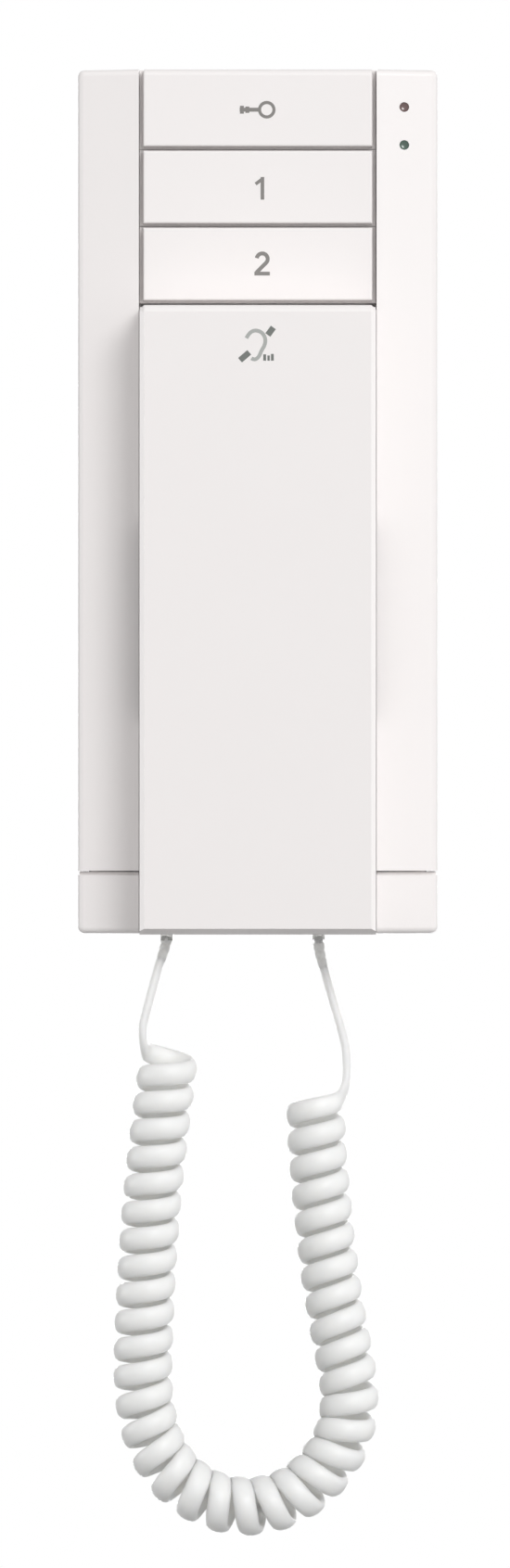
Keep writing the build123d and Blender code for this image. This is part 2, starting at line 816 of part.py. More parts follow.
def make_handset_front_shell():
    height = handset_top - handset_foot
    z = (handset_top + handset_foot) / 2
    back = handset_parting_depth + parting_groove
    lip_back = handset_parting_depth - handset_lip_reach
    shell = slab(handset_width, height, back, handset_front_depth, 0, z)
    top_edge = shell.faces().sort_by(Axis.Y)[0].edges().filter_by(Axis.X).sort_by(Axis.Z)[-1]
    shell = fillet(top_edge, handset_top_radius)
    face = shell.faces().sort_by(Axis.Y)[0]
    foot_edge = face.edges().filter_by(Axis.X).sort_by(Axis.Z)[0]
    shell = chamfer(foot_edge, handset_foot_bevel_rise, handset_foot_bevel_reach, reference=face)
    upright = shell.edges().filter_by(Axis.Z)
    front = upright.filter_by_position(Axis.Y, -handset_front_depth, -handset_front_depth)
    shell = chamfer(front, handset_side_radius)
    shell -= slab(
        handset_width - 2 * handset_wall, height - 2 * handset_wall, back - overrun,
        handset_front_depth - handset_wall, 0, z,
    )
    shell += frame_ring(handset_wall, handset_lip_thickness + running_clearance, back, back + handset_wall)
    shell += frame_ring(handset_wall + running_clearance, handset_lip_thickness, lip_back, back)
    for side in (-1, 1):
        x = side * handset_hook_spacing / 2
        arm_top = handset_top - handset_wall - running_clearance
        arm_foot = arm_top - handset_lip_thickness
        shell += slab(
            handset_hook_width, arm_top - arm_foot, handset_hook_depth, back, x, (arm_top + arm_foot) / 2,
        )
        shell += slab(
            handset_hook_width, arm_top - arm_foot + handset_hook_reach, handset_hook_depth,
            handset_hook_depth + handset_hook_thickness, x, (arm_top + arm_foot + handset_hook_reach) / 2,
        )
    inner_front = handset_front_depth - handset_wall
    for x, pz in handset_screw_places():
        shell += peg(handset_post_diameter, handset_joint_depth, inner_front, x, pz)
        shell -= peg(
            small_screw_shank + 2 * running_clearance, handset_joint_depth - overrun,
            handset_joint_depth + handset_screw_length, x, pz,
        )
    for x, pz in handset_board_corners():
        shell += peg(standoff_diameter / 2, handset_board_depth + handset_board_thickness, inner_front, x, pz)
    return shell


def handset_board_corners():
    x = (handset_board_width - standoff_diameter) / 2
    z = (handset_board_height - standoff_diameter) / 2
    return [(side * x, handset_board_z + end * z) for side in (-1, 1) for end in (-1, 1)]


def make_handset_board():
    return slab(
        handset_board_width, handset_board_height, handset_board_depth,
        handset_board_depth + handset_board_thickness, 0, handset_board_z,
    )


def make_handset_screws():
    seat = handset_back_depth + handset_screw_recess
    length = handset_joint_depth - seat + handset_screw_length - seat_clearance
    return Compound([
        screw(small_screw_shank, small_screw_head, small_screw_head_height, seat, length, x, z, 1)
        for x, z in handset_screw_places()
    ])


def make_earpiece_speaker():
    rim = handset_back_depth + handset_wall
    return loudspeaker(
        earpiece_diameter, earpiece_magnet_diameter, earpiece_thickness, earpiece_rim_thickness,
        rim, earpiece_z, -1,
    )


def make_telecoil():
    """The hearing-aid coil is wound round the speaker's basket and lies on its rim."""
    back = handset_back_depth + handset_wall + earpiece_rim_thickness
    inner = earpiece_diameter - 2 * telecoil_width
    return tube_peg(earpiece_diameter, inner, back, back + telecoil_thickness, 0, earpiece_z)


def make_microphone_boot():
    back = handset_back_depth + handset_wall
    front = back + microphone_thickness + boot_wall
    outer = microphone_diameter + 2 * boot_wall
    boot = slab(outer, outer, back, front, 0, microphone_z)
    boot -= peg(microphone_diameter, back + boot_wall, front + overrun, 0, microphone_z)
    return boot - peg(microphone_hole, back - overrun, back + boot_wall + overrun, 0, microphone_z)


def make_microphone():
    back = handset_back_depth + handset_wall + boot_wall
    return peg(microphone_diameter, back, back + microphone_thickness, 0, microphone_z)


def make_handset_magnets():
    back = handset_back_depth + handset_wall
    return Compound([
        slab(magnet_width, magnet_height, back, back + magnet_thickness, 0, z)
        for z in (magnet_ear_z, magnet_mouth_z)
    ])


# sockets, plugs and cord

def socket_cut(x, depth, foot):
    """The opening in a foot wall that the plug passes through."""
    width = plug_width + 2 * seat_clearance
    thickness = plug_thickness + 2 * seat_clearance
    return Pos(x, -depth, foot) * Box(width, thickness, 2 * (housing_wall + overrun))


def socket_outside():
    wall = running_clearance + socket_wall
    return (plug_width + 2 * wall, plug_thickness + 2 * wall)


def make_socket(x, depth, foot):
    """A modular socket whose mouth points down at a foot height."""
    outer_width, outer_depth = socket_outside()
    bore_length = plug_length - housing_wall + running_clearance
    block = Pos(x, -depth, foot + socket_length / 2) * Box(outer_width, outer_depth, socket_length)
    return block - Pos(x, -depth, foot + bore_length / 2 - overrun / 2) * Box(
        plug_width + 2 * running_clearance, plug_thickness + 2 * running_clearance, bore_length + overrun,
    )


def make_plug(x, depth, foot):
    """A modular plug pushed up into its socket, with the short nose that the cord leaves from."""
    body = Pos(x, -depth, foot + plug_length / 2) * Box(plug_width, plug_thickness, plug_length)
    nose = Pos(x, -depth, foot) * extrude(
        Rectangle(plug_nose_width, plug_nose_depth), plug_nose_length, dir=(0, 0, -1),
    )
    return body + nose


def arc_radii(points):
    """The largest radius that each corner's two runs allow."""
    radii = []
    for before, here, after in zip(points, points[1:], points[2:]):
        run_in, run_out = here - before, after - here
        turn = run_in.get_angle(run_out) * pi / 180
        radii.append(0.45 * min(run_in.length, run_out.length) / tan(turn / 2))
    return radii


def cord_section(origin, way):
    return Plane(origin=origin, z_dir=way) * RegularPolygon(cord_thickness / 2, cord_sides)


def make_tail(name, route):
    """A free stretch of cord: straight runs joined by tangent arcs."""
    points = [Vector(x, -depth, z) for x, depth, z in route]
    radii = arc_radii(points)
    path = FilletPolyline(*points, radius=radii)
    section = cord_section(points[0], points[1] - points[0])
    tube = sweep(section, path=path, clean=False)
    print(name, "radii", [round(r, 1) for r in radii], "length", round(path.length, 1),
          "volume", round(tube.volume, 1), "section times length", round(section.area * path.length, 1))
    return tube


def coil_axis():
    return Spline([(x, -depth, z) for x, depth, z in coil_route])


def helix_point(axis, turn):
    """A point of the wound cord. Turns are counted from the outer side of the handset's leg."""
    here = axis.position_at(turn / coil_turns)
    along = axis.tangent_at(turn / coil_turns)
    to_wall = Vector(0, 1, 0)
    to_wall = (to_wall - along * along.dot(to_wall)).normalized()
    inward = along.cross(to_wall)
    wound_radius = (coil_diameter - cord_thickness) / 2
    angle = pi - 2 * pi * turn
    return here + inward * (wound_radius * cos(angle)) + to_wall * (wound_radius * sin(angle))


def helix_way(axis, turn):
    probe = helix_probe_share * coil_turns
    ahead = helix_point(axis, min(coil_turns, turn + probe))
    return (ahead - helix_point(axis, max(0, turn - probe))).normalized()


def biarc(start, start_way, end, end_way):
    """Two arcs that leave one point and reach another in given directions."""
    chord = end - start
    both = start_way + end_way
    bend = 2 * (1 - start_way.dot(end_way))
    reach = (sqrt(chord.dot(both) ** 2 + bend * chord.dot(chord)) - chord.dot(both)) / bend
    first_corner = start + start_way * reach
    last_corner = end - end_way * reach
    middle = (first_corner + last_corner) / 2
    return [
        Edge.make_tangent_arc(start, start_way, middle),
        Edge.make_tangent_arc(middle, (last_corner - first_corner).normalized(), end),
    ]


def coil_edges():
    """The wound cord's line: a straight end, an elbow, half-turn biarcs, an elbow and a straight end."""
    axis = coil_axis()
    down, up = Vector(0, 0, -1), Vector(0, 0, 1)
    entry = Vector(handset_tail_route[-1][0], -handset_tail_route[-1][1], handset_tail_route[-1][2])
    leave = Vector(base_tail_route[0][0], -base_tail_route[0][1], base_tail_route[0][2])
    bend_start, bend_end = entry + down * end_run, leave - up * end_run
    edges = [Edge.make_line(entry, bend_start)]
    edges += biarc(bend_start, down, helix_point(axis, 0), helix_way(axis, 0))
    for half_turn in range(2 * coil_turns):
        a, b = half_turn / 2, (half_turn + 1) / 2
        edges += biarc(helix_point(axis, a), helix_way(axis, a), helix_point(axis, b), helix_way(axis, b))
    edges += biarc(helix_point(axis, coil_turns), helix_way(axis, coil_turns), bend_end, up)
    edges.append(Edge.make_line(bend_end, leave))
    return edges


def least_coil_gap(path):
    """The least clear space between the wound cord and itself, measured on points along it."""
    steps = gap_samples_per_turn * coil_turns
    points = [path.position_at(step / steps) for step in range(steps + 1)]
    apart = gap_samples_per_turn // 2
    nearest = min(
        (points[i] - points[j]).length
        for i in range(len(points))
        for j in range(i + apart, min(len(points), i + 2 * gap_samples_per_turn))
    )
    return nearest - cord_thickness


def make_cord_coil():
    edges = coil_edges()
    path = Wire(edges)
    section = cord_section(edges[0] @ 0, edges[0] % 0)
    tube = sweep(section, path=path, clean=False)
    arcs = [edge.radius for edge in edges if edge.geom_type == GeomType.CIRCLE]
    print("coil radii", round(min(arcs), 2), "to", round(max(arcs), 2), "length", round(path.length, 1),
          "volume", round(tube.volume, 1), "section times length", round(section.area * path.length, 1),
          "least gap to itself", round(least_coil_gap(path), 2))
    return tube


def build_all():
    os.makedirs("parts", exist_ok=True)
    write("front_housing", make_front_housing())
    write("bottom_strip", make_bottom_strip())
    write("wall_plate", make_wall_plate())
    write("housing_screw", make_housing_screw())
    write("circuit_board", make_circuit_board())
    write("board_screws", make_board_screws())
    write("terminal_block", make_terminal_block())
    write("board_components", make_board_components())
    write("tact_switches", make_tact_switches())
    write("leds", make_leds())
    for colour, z in zip(("red", "green"), lamp_heights()):
        write(f"light_pipe_{colour}", make_light_pipe(z))
    for name, (z, height) in zip(button_names, button_rows()):
        write(f"button_{name}", make_button(z, height))
        write(f"switch_stem_{name}", make_switch_stem(z))
    write("call_loudspeaker", make_call_loudspeaker())
    write("hook_plunger", make_hook_plunger())
    write("hook_switch", make_hook_switch())
    write("cradle_steel_plates", make_steel_plates())
    write("handset_front_shell", make_handset_front_shell())
    write("handset_back_shell", make_handset_back_shell())
    write("handset_screws", make_handset_screws())
    write("handset_board", make_handset_board())
    write("earpiece_speaker", make_earpiece_speaker())
    write("telecoil", make_telecoil())
    write("microphone_boot", make_microphone_boot())
    write("microphone", make_microphone())
    write("handset_magnets", make_handset_magnets())
    write("handset_socket", make_socket(handset_cord_x, handset_cord_depth, handset_foot + handset_wall))
    write("handset_plug", make_plug(handset_cord_x, handset_cord_depth, handset_foot))
    write("base_socket", make_socket(base_cord_x, base_cord_depth, cavity_foot))
    write("base_plug", make_plug(base_cord_x, base_cord_depth, body_foot))
    write("handset_cord_tail", make_tail("handset tail", handset_tail_route))
    write("cord_coil", make_cord_coil())
    write("base_cord_tail", make_tail("base tail", base_tail_route))


build_all()
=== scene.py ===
import bpy
import bmesh
from math import cos, pi, sin
from mathutils import Matrix, Vector


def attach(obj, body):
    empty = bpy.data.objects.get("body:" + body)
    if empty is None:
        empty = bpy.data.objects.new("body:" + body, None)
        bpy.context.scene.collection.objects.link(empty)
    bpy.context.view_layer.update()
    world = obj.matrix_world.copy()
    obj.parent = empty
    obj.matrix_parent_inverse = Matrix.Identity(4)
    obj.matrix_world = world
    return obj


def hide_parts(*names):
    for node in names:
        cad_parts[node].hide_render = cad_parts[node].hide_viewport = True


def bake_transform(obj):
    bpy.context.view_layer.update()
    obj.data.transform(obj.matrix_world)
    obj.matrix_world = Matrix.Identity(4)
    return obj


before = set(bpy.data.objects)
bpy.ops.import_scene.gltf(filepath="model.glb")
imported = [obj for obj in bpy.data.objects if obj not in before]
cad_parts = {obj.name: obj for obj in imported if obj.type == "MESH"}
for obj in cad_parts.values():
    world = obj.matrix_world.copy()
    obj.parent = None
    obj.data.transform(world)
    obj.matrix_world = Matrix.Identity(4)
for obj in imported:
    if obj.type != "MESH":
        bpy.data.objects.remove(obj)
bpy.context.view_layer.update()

# The camera stands straight in front of the station on a long lens, level with the middle of the picture,
# as the photograph was taken.
picture_height = 0.4009
picture_centre = Vector((-0.0007, 0.0, -0.0723))
wing_face = -0.025
camera_distance = 2.4
camera_data = bpy.data.cameras.new("camera")
camera_data.sensor_fit = "VERTICAL"
camera_data.sensor_height = 36.0
camera_data.lens = camera_data.sensor_height * camera_distance / picture_height
camera_data.clip_end = 50.0
camera = bpy.data.objects.new("camera", camera_data)
camera.location = (picture_centre.x, wing_face - camera_distance, picture_centre.z)
camera.rotation_euler = (pi / 2, 0, 0)
bpy.context.scene.collection.objects.link(camera)
bpy.context.scene.camera = camera

# The curly cord is one flat oval wire in a thermoplastic rubber jacket, wound and heat set on a mandrel. It
# hangs in a U from the station's foot to the handset's, with a straight tail at each end. It is drawn in
# two halves that meet behind the U's foot.
cord_width = 0.0058
cord_height = 0.0031
tail_width = 0.0050
tail_height = 0.0022
coil_outside = 0.0153
coil_turns = 36
points_per_turn = 16
steps_per_span = 4
points_of_swelling = 6
meeting_x = -0.004
meeting_reach = 0.0035
meeting_height = -0.24
base_tail = [
    (0.0156, 0.0069, -0.1115), (0.0157, 0.0069, -0.1150), (0.0169, 0.0071, -0.1192),
    (0.0187, 0.0078, -0.1258), (0.0209, 0.0087, -0.1334), (0.0227, 0.0090, -0.1396),
    (0.0230, 0.0092, -0.1456), (0.0226, 0.0100, -0.1502),
]
handset_tail = [
    (-0.0292, 0.0278, -0.1382), (-0.0295, 0.0285, -0.1344), (-0.0285, 0.0282, -0.1306),
    (-0.0269, 0.0270, -0.1246), (-0.0252, 0.0254, -0.1184), (-0.0236, 0.0239, -0.1138),
    (-0.0232, 0.02375, -0.1115),
]
coil_line = [
    (-0.0226, 0.0240, -0.1412), (-0.0241, 0.0240, -0.1530), (-0.0258, 0.0236, -0.1660),
    (-0.0271, 0.0230, -0.1790), (-0.0281, 0.0222, -0.1920), (-0.0288, 0.0215, -0.2050),
    (-0.0294, 0.0208, -0.2180), (-0.0293, 0.0202, -0.2300), (-0.0266, 0.0196, -0.2416),
    (-0.0206, 0.0190, -0.2506), (-0.0120, 0.0184, -0.2561), (-0.0020, 0.0178, -0.2579),
    (0.0079, 0.0172, -0.2556), (0.0160, 0.0166, -0.2496), (0.0220, 0.0161, -0.2406),
    (0.0240, 0.0157, -0.2296), (0.0219, 0.0152, -0.2172), (0.0194, 0.0147, -0.2042),
    (0.0177, 0.0143, -0.1912), (0.0163, 0.0140, -0.1782), (0.0152, 0.0140, -0.1658),
    (0.0148, 0.0140, -0.1536),
]


def place(point):
    """A point written as x, depth in front of the wall and height."""
    return Vector((point[0], -point[1], point[2]))


def smooth_line(points, steps):
    """The points that a NURBS spline with these control points passes through, so many to each span."""
    curve = bpy.data.curves.new("line", "CURVE")
    curve.dimensions = "3D"
    curve.resolution_u = steps
    spline = curve.splines.new("NURBS")
    spline.points.add(len(points) - 1)
    for control, point in zip(spline.points, points):
        control.co = (*point, 1.0)
    spline.order_u = 3
    spline.use_endpoint_u = True
    holder = bpy.data.objects.new("line", curve)
    bpy.context.scene.collection.objects.link(holder)
    read = bpy.data.meshes.new_from_object(holder)
    line = [v.co.copy() for v in read.vertices]
    bpy.data.objects.remove(holder)
    bpy.data.curves.remove(curve)
    bpy.data.meshes.remove(read)
    return line


def evenly_along(line, count):
    """That many places evenly spaced along a line, each with its direction."""
    lengths = [0.0]
    for a, b in zip(line, line[1:]):
        lengths.append(lengths[-1] + (b - a).length)
    places = []
    step = 0
    for i in range(count):
        wanted = lengths[-1] * i / (count - 1)
        while step < len(line) - 2 and lengths[step + 1] < wanted:
            step += 1
        share = (wanted - lengths[step]) / (lengths[step + 1] - lengths[step])
        places.append((line[step].lerp(line[step + 1], share), (line[step + 1] - line[step]).normalized()))
    return places


def curl_points():
    """Control points of the curls with the way that the wide side faces, from the handset's leg on."""
    centre = smooth_line([place(p) for p in coil_line], 12)
    places = evenly_along(centre, coil_turns * points_per_turn + 1)
    half_step = pi / points_per_turn
    control_radius = (coil_outside - cord_height) / 2 / cos(half_step)
    points = []
    for i, (here, along) in enumerate(places):
        to_wall = Vector((0, 1, 0))
        to_wall = (to_wall - along * along.dot(to_wall)).normalized()
        inward = along.cross(to_wall)
        angle = pi - 2 * pi * i / points_per_turn
        out = inward * cos(angle) + to_wall * sin(angle)
        points.append((here + out * control_radius, out))
    return points


def cord_controls():
    """All control points of the cord with the way its wide side faces, from the station to the handset."""
    curls = curl_points()
    first = [(place(p), Vector((1, 0, 0))) for p in base_tail]
    last = [(place(p), Vector((-1, 0, 0))) for p in handset_tail]
    return first + curls[::-1] + last


def new_piece(name, made, crease=0.6):
    """Turns a finished bmesh into an object. Edges that turn by more than crease shade as sharp."""
    bmesh.ops.recalc_face_normals(made, faces=made.faces)
    for face in made.faces:
        face.smooth = True
    for edge in made.edges:
        edge.smooth = len(edge.link_faces) < 2 or edge.calc_face_angle() < crease
    mesh = bpy.data.meshes.new(name)
    made.to_mesh(mesh)
    made.free()
    piece = bpy.data.objects.new(name, mesh)
    bpy.context.scene.collection.objects.link(piece)
    return piece


def join_rings(made, rings, ends=True):
    """Skins a row of closed rings that have the same number of points each."""
    count = len(rings[0])
    for a, b in zip(rings, rings[1:]):
        for c in range(count):
            made.faces.new((a[c], a[(c + 1) % count], b[(c + 1) % count], b[c]))
    if ends:
        made.faces.new(rings[0][::-1])
        made.faces.new(rings[-1])


def round_angles(steps):
    """That many angles evenly round a circle."""
    return [2 * pi * c / steps for c in range(steps)]


def oval_tube(name, line, faces, sizes, part=slice(None)):
    """An oval tube. faces is the way that its wide side looks at each ring, and sizes are its two axes."""
    made = bmesh.new()
    rings = []
    for i in range(len(line))[part]:
        here, face, (width, height) = line[i], faces[i], sizes[i]
        along = (line[min(i + 1, len(line) - 1)] - line[max(i - 1, 0)]).normalized()
        normal = (face - along * along.dot(face)).normalized()
        side = along.cross(normal)
        rings.append([
            made.verts.new(here + side * (width / 2 * cos(a)) + normal * (height / 2 * sin(a)))
            for a in round_angles(16)
        ])
    join_rings(made, rings)
    return new_piece(name, made, crease=1.3)


def linear(*srgb):
    """A colour read off as 0 to 255 on screen, turned into the linear values that a shader takes."""
    return tuple(((c / 255 + 0.055) / 1.055) ** 2.4 if c > 10 else c / 255 / 12.92 for c in srgb)


def set_inputs(node, **values):
    """Sets input values of a node. Underscores in their names stand for spaces."""
    for name, value in values.items():
        node.inputs[name.replace("_", " ")].default_value = value


def add_node(material, kind, **values):
    """A new node of a material, or of the world, with some of its inputs set."""
    node = material.node_tree.nodes.new("ShaderNode" + kind)
    set_inputs(node, **values)
    return node


def blank_finish(name, stretch=(1, 1, 1)):
    """A new material, its shader, and the surface's own coordinates, stretched as asked."""
    material = bpy.data.materials.new(name)
    material.use_nodes = True
    where = add_node(material, "TexCoord")
    mapping = add_node(material, "Mapping", Scale=stretch)
    material.node_tree.links.new(where.outputs["Object"], mapping.inputs["Vector"])
    return material, material.node_tree.nodes["Principled BSDF"], mapping.outputs["Vector"]


def tint(material, shader, pattern, low, high):
    """Runs the shader's colour from one to another along a pattern."""
    mix = add_node(material, "Mix")
    mix.data_type = "RGBA"
    set_inputs(mix, A=(*low, 1), B=(*high, 1))
    material.node_tree.links.new(pattern, mix.inputs["Factor"])
    material.node_tree.links.new(mix.outputs["Result"], shader.inputs["Base Color"])


def sheen_from(material, shader, pattern, low, high):
    """Runs the shader's roughness between two values along a pattern."""
    spread = add_node(material, "MapRange", To_Min=low, To_Max=high)
    material.node_tree.links.new(pattern, spread.inputs["Value"])
    material.node_tree.links.new(spread.outputs["Result"], shader.inputs["Roughness"])


def relief_from(material, shader, pattern, depth):
    """Raises the surface a little along a pattern."""
    bump = add_node(material, "Bump", Strength=0.4, Distance=depth)
    material.node_tree.links.new(pattern, bump.inputs["Height"])
    material.node_tree.links.new(bump.outputs["Normal"], shader.inputs["Normal"])


def noise(material, where, scale, detail=2.0):
    cloud = add_node(material, "TexNoise", Scale=scale, Detail=detail)
    material.node_tree.links.new(where, cloud.inputs["Vector"])
    return cloud.outputs["Fac"]


def moulded(name, colour, roughness, grain, depth, clouding=0.02, coat=0.0):
    """Moulded plastic or rubber: faint clouding of the colour, fine spark-eroded grain and uneven sheen."""
    material, shader, where = blank_finish(name)
    set_inputs(shader, Coat_Weight=coat, Coat_Roughness=roughness / 3)
    tint(material, shader, noise(material, where, 40.0, 3.0), [c * (1 - clouding) for c in colour], colour)
    fine = noise(material, where, grain)
    sheen_from(material, shader, fine, roughness - 0.05, roughness + 0.05)
    relief_from(material, shader, fine, depth)
    return material


def translucent(material, weight, reach):
    """Lets light into a soft white material. reach is how far it goes in red, green and blue."""
    shader = material.node_tree.nodes["Principled BSDF"]
    set_inputs(shader, Subsurface_Weight=weight, Subsurface_Radius=reach, Subsurface_Scale=1.0)


def finish_with(material, *pieces):
    """Puts a material on pieces. A name stands for the solid of the CAD model that has it."""
    for piece in pieces:
        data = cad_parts[piece].data if isinstance(piece, str) else piece.data
        data.materials.clear()
        data.materials.append(material)


# The facing of the wide side runs from one control point to the next as the line itself does, and the wire
# swells between a tail and the coil.
controls = cord_controls()
cord_line = smooth_line([point for point, face in controls], steps_per_span)
spans = len(controls) - 2
cord_faces, cord_sizes = [], []
for i in range(len(cord_line)):
    at = min(i / (len(cord_line) - 1) * spans, spans - 1e-6)
    span, t = int(at), at - int(at)
    weights = ((1 - t) ** 2 / 2, 0.5 + t - t * t, t * t / 2)
    cord_faces.append(sum((controls[span + k][1] * weights[k] for k in range(3)), Vector()).normalized())
    into_coil = min(at - len(base_tail), spans - at - len(handset_tail)) / points_of_swelling
    wound = min(1.0, max(0.0, into_coil))
    cord_sizes.append((
        tail_width + (cord_width - tail_width) * wound,
        tail_height + (cord_height - tail_height) * wound,
    ))
at_foot = [
    i for i, point in enumerate(cord_line)
    if point.z < meeting_height and abs(point.x - meeting_x) < meeting_reach
]
meeting = max(at_foot, key=lambda i: cord_line[i].y)
station_half = oval_tube(
    "curly_cord_station_half", cord_line, cord_faces, cord_sizes, slice(meeting + 1),
)
handset_half = oval_tube(
    "curly_cord_handset_half", cord_line, cord_faces, cord_sizes, slice(meeting, None),
)
jacket = moulded("cord jacket", linear(241, 241, 239), 0.42, 900.0, 0.00003, clouding=0.03, coat=0.05)
translucent(jacket, 1.0, (0.0045, 0.0044, 0.0042))
finish_with(jacket, station_half, handset_half)
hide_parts("base_cord_tail", "cord_coil")
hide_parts("cord_coil", "handset_cord_tail")
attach(station_half, "base")
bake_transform(handset_half)


# A modular plug of smoky clear plastic is crimped on each end of the cord and pushed up into its socket.
# Only its nose shows, with a tapered rubber sleeve round the cord that keeps it from kinking at the exit.
sleeve_points = 7


def spot(x, depth, z):
    """A point in millimetres: x, depth in front of the wall and height."""
    return Vector((x, -depth, z)) / 1000


def strain_relief(name, line, face, body):
    """A sleeve along the first millimetres of a cord's end, with two shallow grooves that let it bend."""
    profile = [
        (0, 2.75, 5.5), (3, 2.85, 5.6), (10, 2.75, 5.5), (11, 2.45, 5.25), (15, 2.45, 5.25),
        (16, 2.65, 5.4), (23, 2.6, 5.35), (24, 2.35, 5.15), (28, 2.35, 5.15), (29, 2.5, 5.25),
        (37, 2.4, 5.2), (40, 2.25, 5.05),
    ]
    places = evenly_along(line, profile[-1][0] + 1)
    sleeve = oval_tube(
        name, [places[step][0] for step, thickness, width in profile], [face] * len(profile),
        [(width / 1000, thickness / 1000) for step, thickness, width in profile],
    )
    finish_with(sleeve_rubber, sleeve)
    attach(sleeve, body)
    return sleeve


sleeve_rubber = moulded("sleeve rubber", linear(242, 242, 239), 0.5, 1500.0, 0.00002)
translucent(sleeve_rubber, 0.6, (0.002, 0.002, 0.0019))
handset_sleeve = strain_relief(
    "handset_strain_relief", cord_line[:-sleeve_points:-1], Vector((-1, 0, 0)), "handset",
)
base_sleeve = strain_relief("base_strain_relief", cord_line[1:sleeve_points], Vector((1, 0, 0)), "base")
smoky, smoky_shader, smoky_where = blank_finish("smoky clear plastic")
set_inputs(smoky_shader, Transmission_Weight=0.2, IOR=1.49)
smoky_cloud = noise(smoky, smoky_where, 300.0)
tint(smoky, smoky_shader, smoky_cloud, (0.56, 0.56, 0.54), (0.64, 0.64, 0.62))
sheen_from(smoky, smoky_shader, smoky_cloud, 0.12, 0.22)
relief_from(smoky, smoky_shader, noise(smoky, smoky_where, 700.0), 0.00002)
finish_with(smoky, "base_plug", "handset_plug")

# The wall plate is moulded in plain white plastic and screwed to the wall first. It shows from behind only,
# so it keeps a coarse tool finish with faint swirls where the melt flowed in.
plate_white, plate_shader, plate_where = blank_finish("plate white")
plate_swirl = noise(plate_white, plate_where, 22.0, 6.0)
plate_grain = noise(plate_white, plate_where, 1100.0)
tint(plate_white, plate_shader, plate_swirl, linear(214, 214, 211), linear(230, 230, 227))
sheen_from(plate_white, plate_shader, plate_grain, 0.52, 0.7)
relief_from(plate_white, plate_shader, plate_grain, 0.00005)
finish_with(plate_white, "wall_plate")

# The circuit board is green glass-fibre laminate with copper tracks under the lacquer. Two small screws
# hold it on the plate's posts.
small_screw = {"head_radius": 2.4, "head_height": 1.8, "shank_radius": 1.2, "pitch": 0.9}
board_screw_x = 37.5
board_screw_z = 83.7
board_front = 9.0


def tracks(name, spacing):
    """Lacquered board: fine straight copper tracks that show a little lighter and raised."""
    material, shader, where = blank_finish(name)
    upright = add_node(material, "Mapping", Rotation=(pi / 2, 0, 0))
    bricks = add_node(
        material, "TexBrick", Scale=1.0, Mortar_Size=spacing / 5,
        Brick_Width=spacing * 5, Row_Height=spacing,
    )
    links = material.node_tree.links
    links.new(where, upright.inputs["Vector"])
    links.new(upright.outputs["Vector"], bricks.inputs["Vector"])
    tint(material, shader, bricks.outputs["Fac"], (0.012, 0.13, 0.055), (0.03, 0.2, 0.09))
    sheen_from(material, shader, noise(material, where, 800.0), 0.22, 0.34)
    relief_from(material, shader, bricks.outputs["Fac"], 0.00006)
    return material


def turned(name, profile, x=0.0, z=0.0, steps=40):
    """A piece turned about a line square to the wall. The profile is radius and depth in millimetres."""
    made = bmesh.new()
    rings = [
        [made.verts.new(spot(x + radius * cos(a), depth, z + radius * sin(a))) for a in round_angles(steps)]
        for radius, depth in profile
    ]
    join_rings(made, rings)
    return new_piece(name, made)


def plus_prism(x, z, front, back, reach, arm):
    """A cross-shaped driver bit that narrows towards its tip."""
    made = bmesh.new()
    rings = []
    for depth, scale in ((front, 1.0), (back, 0.6)):
        ring = []
        for quarter in range(4):
            spin = Matrix.Rotation(quarter * pi / 2, 2)
            for point in ((reach, -arm), (reach, arm), (arm, arm)):
                turned_point = spin @ (Vector(point) * scale)
                ring.append(made.verts.new(spot(x + turned_point.x, depth, z + turned_point.y)))
        rings.append(ring)
    join_rings(made, rings)
    return new_piece("driver_bit", made, crease=0.0)


def cut_with(piece, tool):
    """Cuts one piece out of another and throws the tool away."""
    cut = piece.modifiers.new("cut", "BOOLEAN")
    cut.operation = "DIFFERENCE"
    cut.object = tool
    bpy.context.view_layer.update()
    whole = piece.evaluated_get(bpy.context.evaluated_depsgraph_get())
    piece.data = bpy.data.meshes.new_from_object(whole)
    piece.modifiers.clear()
    bpy.data.objects.remove(tool)


def cross_screw(name, x, z, seat, way, length, head_radius, head_height, shank_radius, pitch):
    """A pan-head screw with a cross recess and a rolled thread. way is 1 if its tip points at the room."""
    rings_per_pitch, thread = 5, 0.28
    crown = seat - way * head_height
    made = bmesh.new()
    turns = round_angles(24)
    profile = [
        (head_radius * 0.55, crown), (head_radius * 0.85, crown + way * head_height * 0.12),
        (head_radius, crown + way * head_height * 0.45), (head_radius, seat),
    ]
    rings = [
        [made.verts.new(spot(x + r * cos(a), d, z + r * sin(a))) for a in turns] for r, d in profile
    ]
    rows = int(length / pitch * rings_per_pitch)
    for row in range(rows + 1):
        down = length * row / rows
        taper = min(1.0, (length - down) / (2 * pitch) + 0.35)
        ring = []
        for a in turns:
            rise = abs(2 * ((down / pitch - a / (2 * pi)) % 1.0) - 1)
            r = (shank_radius - thread * (1 - rise)) * taper
            ring.append(made.verts.new(spot(x + r * cos(a), seat + way * down, z + r * sin(a))))
        rings.append(ring)
    join_rings(made, rings)
    screw = new_piece(name, made)
    bit = plus_prism(
        x, z, crown - way * 0.5, crown + way * head_height * 0.75, head_radius * 0.55, head_radius * 0.12,
    )
    cut_with(screw, bit)
    finish_with(zinc, screw)
    return screw


